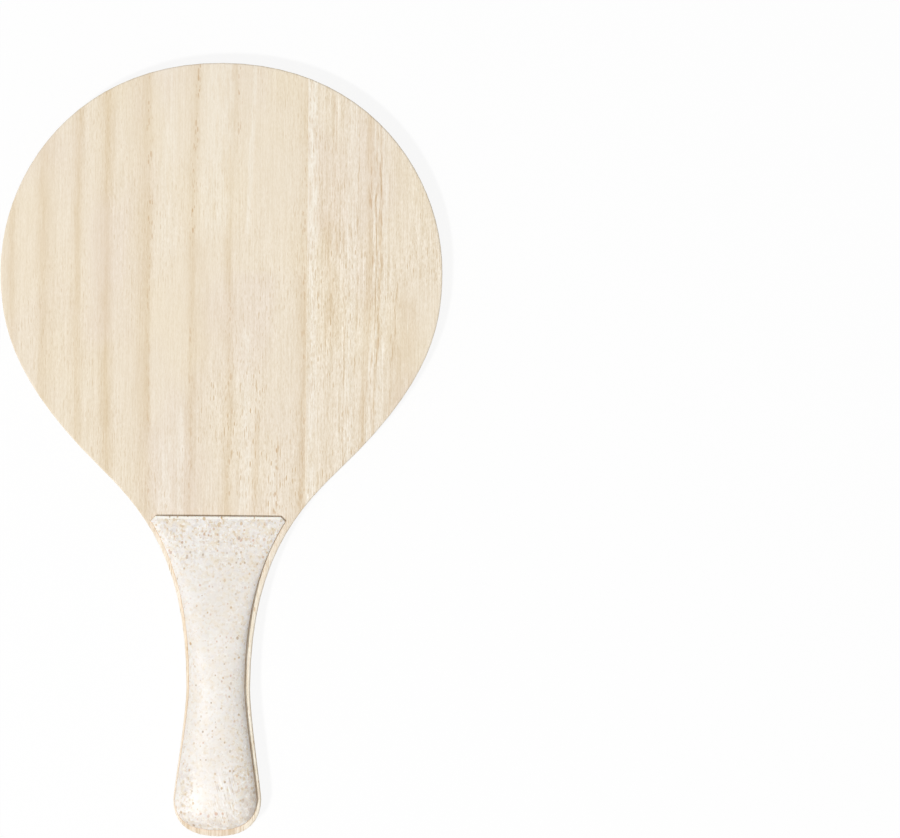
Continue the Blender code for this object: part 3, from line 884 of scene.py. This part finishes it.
def moulding(name):
    """Off-white straw-filled moulding with flecks, smudges, painted shade at the butt and the palm's left
    edge, a painted highlight on its lip, and a satin skin.
    """
    tree = Tree(name)
    place = tree.parts(tree.place)
    density, left = straw_density(tree, place)
    cloud = tree.noise(tree.scaled(CLOUD_SCALE), detail=3.0)
    colour = tree.mix(tree.step(cloud, *CLOUD_OVER), MOULD_PALE, MOULD_WARM)
    for mottle in MOTTLES:
        colour = mottled(tree, colour, mottle, tree.spread(density, *MOTTLE_SHARES))
    # Painted shade: darker blotches at the butt's rim and right corner, and at the palm's left edge
    colour = mottled(tree, colour, RIM_PAINTED_SHADE, painted_rim_shade(tree, place))
    colour = mottled(tree, colour, LEFT_PAINTED_SHADE, tree.product(left, LEFT_PAINTED_SHADE_SHARE))
    colour = flow_lines(tree, colour)
    # Painted highlight along the lip at the scale's top
    colour = painted_lip_highlight(tree, colour, place)

    crowding = tree.spread(density, *FLECK_CROWDING)
    colour, large = flecked(tree, colour, LARGE_FLECKS, crowding)
    colour, medium = flecked(tree, colour, MEDIUM_FLECKS, crowding)
    colour, small = flecked(tree, colour, SMALL_FLECKS, tree.spread(density, *SMALL_FLECK_CROWDING))
    pits = tree.sum(large, medium, tree.product(small, SMALL_FLECK_PITS))
    tree.shader.inputs["Subsurface Weight"].default_value = MOULD_SCATTER
    tree.shader.inputs["Subsurface Radius"].default_value = MOULD_SCATTER_REACH
    return tree.finish(colour, cloud, MOULD_SKIN, pits)


def smooth_group():
    """A modifier's node group that joins a mesh's split corners and smooths its shading below an angle."""
    group = bpy.data.node_groups.new("smooth_by_angle", "GeometryNodeTree")
    group.interface.new_socket("Geometry", in_out="INPUT", socket_type="NodeSocketGeometry")
    group.interface.new_socket("Geometry", in_out="OUTPUT", socket_type="NodeSocketGeometry")
    nodes, links = group.nodes, group.links
    start = nodes.new("NodeGroupInput")
    end = nodes.new("NodeGroupOutput")
    merge = nodes.new("GeometryNodeMergeByDistance")
    merge.inputs["Distance"].default_value = WELD
    angle = nodes.new("GeometryNodeInputMeshEdgeAngle")
    sharp = nodes.new("ShaderNodeMath")
    sharp.operation = "GREATER_THAN"
    sharp.inputs[1].default_value = SMOOTH_BELOW
    normals = nodes.new("GeometryNodeSetMeshNormal")
    normals.mode = "SHARPNESS"
    normals.inputs["Remove Custom"].default_value = True
    normals.inputs["Face Sharpness"].default_value = False
    links.new(start.outputs[0], merge.inputs["Geometry"])
    links.new(merge.outputs["Geometry"], normals.inputs["Mesh"])
    links.new(angle.outputs["Unsigned Angle"], sharp.inputs[0])
    links.new(sharp.outputs[0], normals.inputs["Edge Sharpness"])
    links.new(normals.outputs["Mesh"], end.inputs[0])
    return group


def smooth(piece, group):
    """Smooth shading for a faceted piece, led by its largest faces."""
    modifier = piece.modifiers.new("smooth_by_angle", "NODES")
    modifier.node_group = group
    weighted = piece.modifiers.new("weighted_normal", "WEIGHTED_NORMAL")
    weighted.mode = "FACE_AREA"
    weighted.weight = LARGE_FACE_WEIGHT
    weighted.keep_sharp = True


def dress(node, material):
    """Gives a CAD node its finish."""
    slots = NODES[node].data.materials
    slots.clear()
    slots.append(material)


def added(name, data):
    """A new object in the scene."""
    thing = bpy.data.objects.new(name, data)
    bpy.context.scene.collection.objects.link(thing)
    return thing


def meshed(name, corners, faces, material):
    """A new object with one mesh and one material."""
    mesh = bpy.data.meshes.new(name)
    mesh.from_pydata(corners, [], faces)
    mesh.materials.append(material)
    return added(name, mesh)


def glue_film(name, below, above, material):
    """The glue between two plies: the core's outline, as thick as the gap that it fills."""
    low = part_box(below)[1].z
    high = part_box(above)[0].z
    core_low, core_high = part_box("core_ply")
    film = added(name, NODES["core_ply"].data.copy())
    for vertex in film.data.vertices:
        share = (vertex.co.z - core_low.z) / (core_high.z - core_low.z)
        vertex.co.z = low + share * (high - low)
        vertex.co.x *= 1 - GLUE_INSET / core_high.x
        vertex.co.y *= 1 - GLUE_INSET / core_high.y
    film.data.materials.clear()
    film.data.materials.append(material)
    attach(film, "root")
    return film


def ends_at(node, x):
    """The lowest and highest y of a CAD node's corners on the line x."""
    found = [corner.co.y for corner in NODES[node].data.vertices if abs(corner.co.x - x) < SNAP]
    return min(found), max(found)


def joint_bead(name, wide, narrow, material):
    """The filled joint between two face leaves, a hair below their faces."""
    left, right = sorted((wide, narrow), key=lambda node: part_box(node)[0].x)
    left_x, right_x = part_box(left)[1].x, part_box(right)[0].x
    low_z, high_z = (corner.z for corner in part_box(left))
    if high_z > 0:
        high_z -= JOINT_SUNK
    else:
        low_z += JOINT_SUNK
    ends = ((left_x, ends_at(left, left_x)), (right_x, ends_at(right, right_x)))
    corners = [(x, y, z) for x, reach in ends for y in reach for z in (low_z, high_z)]
    bead = meshed(name, corners, BOX_FACES, material)
    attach(bead, "root")


def seat_faces(scale, seat):
    """A grip scale's faces at the height of its seat: the corners, and each face as its corners' numbers."""
    mesh = NODES[scale].data
    corners = {}
    faces = []
    for polygon in mesh.polygons:
        places = [mesh.vertices[index].co for index in polygon.vertices]
        if all(abs(place.z - seat) < SNAP for place in places):
            keys = [(round(place.x, CORNER_DIGITS), round(place.y, CORNER_DIGITS)) for place in places]
            faces.append([corners.setdefault(key, len(corners)) for key in keys])
    return [Vector((*key, 0.0)) for key in corners], faces


def outer_loop(edges):
    """The longest closed loop among directed edges, as its corners in order."""
    after = dict(edges)
    loops = []
    while after:
        corner = next(iter(after))
        loop = []
        while corner in after:
            loop.append(corner)
            corner = after.pop(corner)
        loops.append(loop)
    return max(loops, key=len)


def outward_steps(points, loop, clockwise):
    """At each corner of a loop, the direction straight away from what the loop encloses."""
    steps = []
    for number in range(len(loop)):
        along = points[loop[(number + 1) % len(loop)]] - points[loop[number - 1]]
        step = Vector((along.y, -along.x, 0.0)).normalized()
        steps.append(-step if clockwise else step)
    return steps


def grip_glue(name, scale, leaf, material):
    """The glue under a grip scale: its seat face, as thick as the gap, and proud at its rim by a hair. That
    amber rim is also a painted brown shadow line along the grip's edge.
    """
    low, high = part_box(leaf)
    front = high.z > 0
    face = high.z if front else low.z
    seat = face + SEAT_GAP if front else face - SEAT_GAP
    points, tops = seat_faces(scale, seat)
    sides = {(top[i], top[(i + 1) % len(top)]) for top in tops for i in range(len(top))}
    rim = [side for side in sides if (side[1], side[0]) not in sides]
    loop = outer_loop(rim)
    for corner, step in zip(loop, outward_steps(points, loop, clockwise=front)):
        points[corner] = points[corner] + step * GLUE_PROUD_AS_SHADE
    count = len(points)
    corners = [(point.x, point.y, height) for height in (seat, face) for point in points]
    bottoms = [[count + corner for corner in reversed(top)] for top in tops]
    walls = [(b, a, count + a, count + b) for a, b in rim]
    film = meshed(name, corners, tops + bottoms + walls, material)
    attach(film, "root")
    return film


def add_lamp():
    """One round softbox over the butt's left, which throws the thin shadows at the grip's top and right."""
    direction = Vector((
        math.cos(KEY_ELEVATION) * math.cos(KEY_AZIMUTH),
        math.cos(KEY_ELEVATION) * math.sin(KEY_AZIMUTH),
        math.sin(KEY_ELEVATION),
    ))
    data = bpy.data.lights.new("key_softbox", "AREA")
    data.shape = "DISK"
    data.size = KEY_SIZE
    data.energy = KEY_SHARE * (math.pi * KEY_DISTANCE) ** 2 / math.sin(KEY_ELEVATION)
    lamp = added("key_softbox", data)
    lamp.location = direction * KEY_DISTANCE
    lamp.rotation_euler = direction.to_track_quat("Z", "Y").to_euler()
    lamp.visible_camera = False


def seen_directly(nodes, links):
    """1 for a ray that shows the background: from the camera, or off or through something shiny."""
    path = nodes.new("ShaderNodeLightPath")
    total = path.outputs["Is Camera Ray"]
    for name in ("Is Glossy Ray", "Is Transmission Ray"):
        either = nodes.new("ShaderNodeMath")
        either.operation = "MAXIMUM"
        links.new(total, either.inputs[0])
        links.new(path.outputs[name], either.inputs[1])
        total = either.outputs[0]
    return total


def add_sky():
    """An even white sky, which looks pure white where it is seen."""
    world = bpy.data.worlds.new("studio")
    world.use_nodes = True
    nodes, links = world.node_tree.nodes, world.node_tree.links
    background = nodes["Background"]
    background.inputs["Color"].default_value = (1.0, 1.0, 1.0, 1.0)
    strength = nodes.new("ShaderNodeMapRange")
    strength.inputs["To Min"].default_value = SKY_SHARE
    strength.inputs["To Max"].default_value = 1.0
    links.new(seen_directly(nodes, links), strength.inputs["Value"])
    links.new(strength.outputs["Result"], background.inputs["Strength"])
    bpy.context.scene.world = world


def floor_white():
    """White paint that looks nearly pure white where it is seen, and keeps a faint shadow."""
    material = bpy.data.materials.new("floor_white")
    material.use_nodes = True
    nodes, links = material.node_tree.nodes, material.node_tree.links
    diffuse = nodes.new("ShaderNodeBsdfDiffuse")
    diffuse.inputs["Color"].default_value = FLOOR_PAINT
    emission = nodes.new("ShaderNodeEmission")
    emission.inputs["Strength"].default_value = 1.0
    share = nodes.new("ShaderNodeMath")
    share.operation = "MULTIPLY"
    share.inputs[1].default_value = FLOOR_WHITE
    mix = nodes.new("ShaderNodeMixShader")
    links.new(seen_directly(nodes, links), share.inputs[0])
    links.new(share.outputs[0], mix.inputs[0])
    links.new(diffuse.outputs[0], mix.inputs[1])
    links.new(emission.outputs[0], mix.inputs[2])
    links.new(mix.outputs[0], nodes["Material Output"].inputs["Surface"])
    return material


def add_floor():
    """A square floor at the height of the rear grip's lowest point."""
    height = cad_box[0].z
    half = FLOOR_SIZE / 2
    corners = [(-half, -half, height), (half, -half, height), (half, half, height), (-half, half, height)]
    floor = meshed("floor", corners, [(0, 1, 2, 3)], floor_white())


def add_camera():
    """A long lens square to the blade, turned and aimed so that the paddle falls on its pixels."""
    axis = HEAD_TOP_PIXEL - BUTT_END_PIXEL
    length = cad_box[1].y - cad_box[0].y
    pixel = length / axis.length
    lean = math.atan2(axis.x, -axis.y)
    right = Vector((math.cos(lean), math.sin(lean), 0.0))
    up = Vector((-math.sin(lean), math.cos(lean), 0.0))
    middle = (HEAD_TOP_PIXEL + BUTT_END_PIXEL) / 2
    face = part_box("front_face_leaf_wide")[1].z
    aim = right * (PHOTO_WIDTH / 2 - middle.x) * pixel + up * (middle.y - PHOTO_HEIGHT / 2) * pixel
    data = bpy.data.cameras.new("photo_camera")
    data.sensor_width = SENSOR_WIDTH
    data.lens = SENSOR_WIDTH * CAMERA_DISTANCE / (PHOTO_WIDTH * pixel)
    data.clip_start = CLIP_START
    data.clip_end = CLIP_END
    camera = added("photo_camera", data)
    camera.location = aim + Vector((0.0, 0.0, face + CAMERA_DISTANCE))
    camera.rotation_euler = (0.0, 0.0, lean)
    bpy.context.scene.camera = camera


def dress_blade(group):
    """Face leaves, inner plies and the glue between them."""
    for node, veneer in VENEERS.items():
        low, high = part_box(node)
        dress(node, leaf_wood(f"{node}_veneer", veneer, (low.x - RING_MARGIN, high.x + RING_MARGIN)))
    end_grain = ply_wood("cross_ply_end_grain", CROSS_PLY_GRAIN, CROSS_PLY_TINTS)
    dress("front_crossband_ply", end_grain)
    dress("rear_crossband_ply", end_grain)
    dress("core_ply", ply_wood("core_ply_long_grain", CORE_PLY_GRAIN, CORE_PLY_TINTS))
    brown = glue("glue_line", GLUE_TINTS)
    stack = (
        "rear_face_leaf_wide", "rear_crossband_ply", "core_ply",
        "front_crossband_ply", "front_face_leaf_wide",
    )
    for number, (below, above) in enumerate(zip(stack, stack[1:]), start=1):
        smooth(glue_film(f"glue_film_{number}", below, above, brown), group)
    filler = glue("joint_filler", FILLER_TINTS)
    for side in ("front", "rear"):
        joint_bead(f"{side}_leaf_joint", f"{side}_face_leaf_wide", f"{side}_face_leaf_narrow", filler)


def dress_grip(group):
    """Both grip scales are one moulding used twice, each on a film of amber glue whose proud rim is also a
    painted brown shadow line.
    """
    skin = moulding("straw_moulding")
    amber_glue_and_shade = glue("grip_glue_and_shade_line", AMBER_GLUE_AND_SHADE_TINTS)
    for side in ("front", "rear"):
        dress(f"{side}_grip_scale", skin)
        film = grip_glue(f"{side}_grip_glue", f"{side}_grip_scale", f"{side}_face_leaf_wide", amber_glue_and_shade)
        smooth(film, group)


def main():
    bpy.context.scene.view_settings.view_transform = "Standard"
    group = smooth_group()
    for node in NODES.values():
        smooth(node, group)
    dress_blade(group)
    dress_grip(group)
    add_lamp()
    add_sky()
    add_floor()
    add_camera()


main()
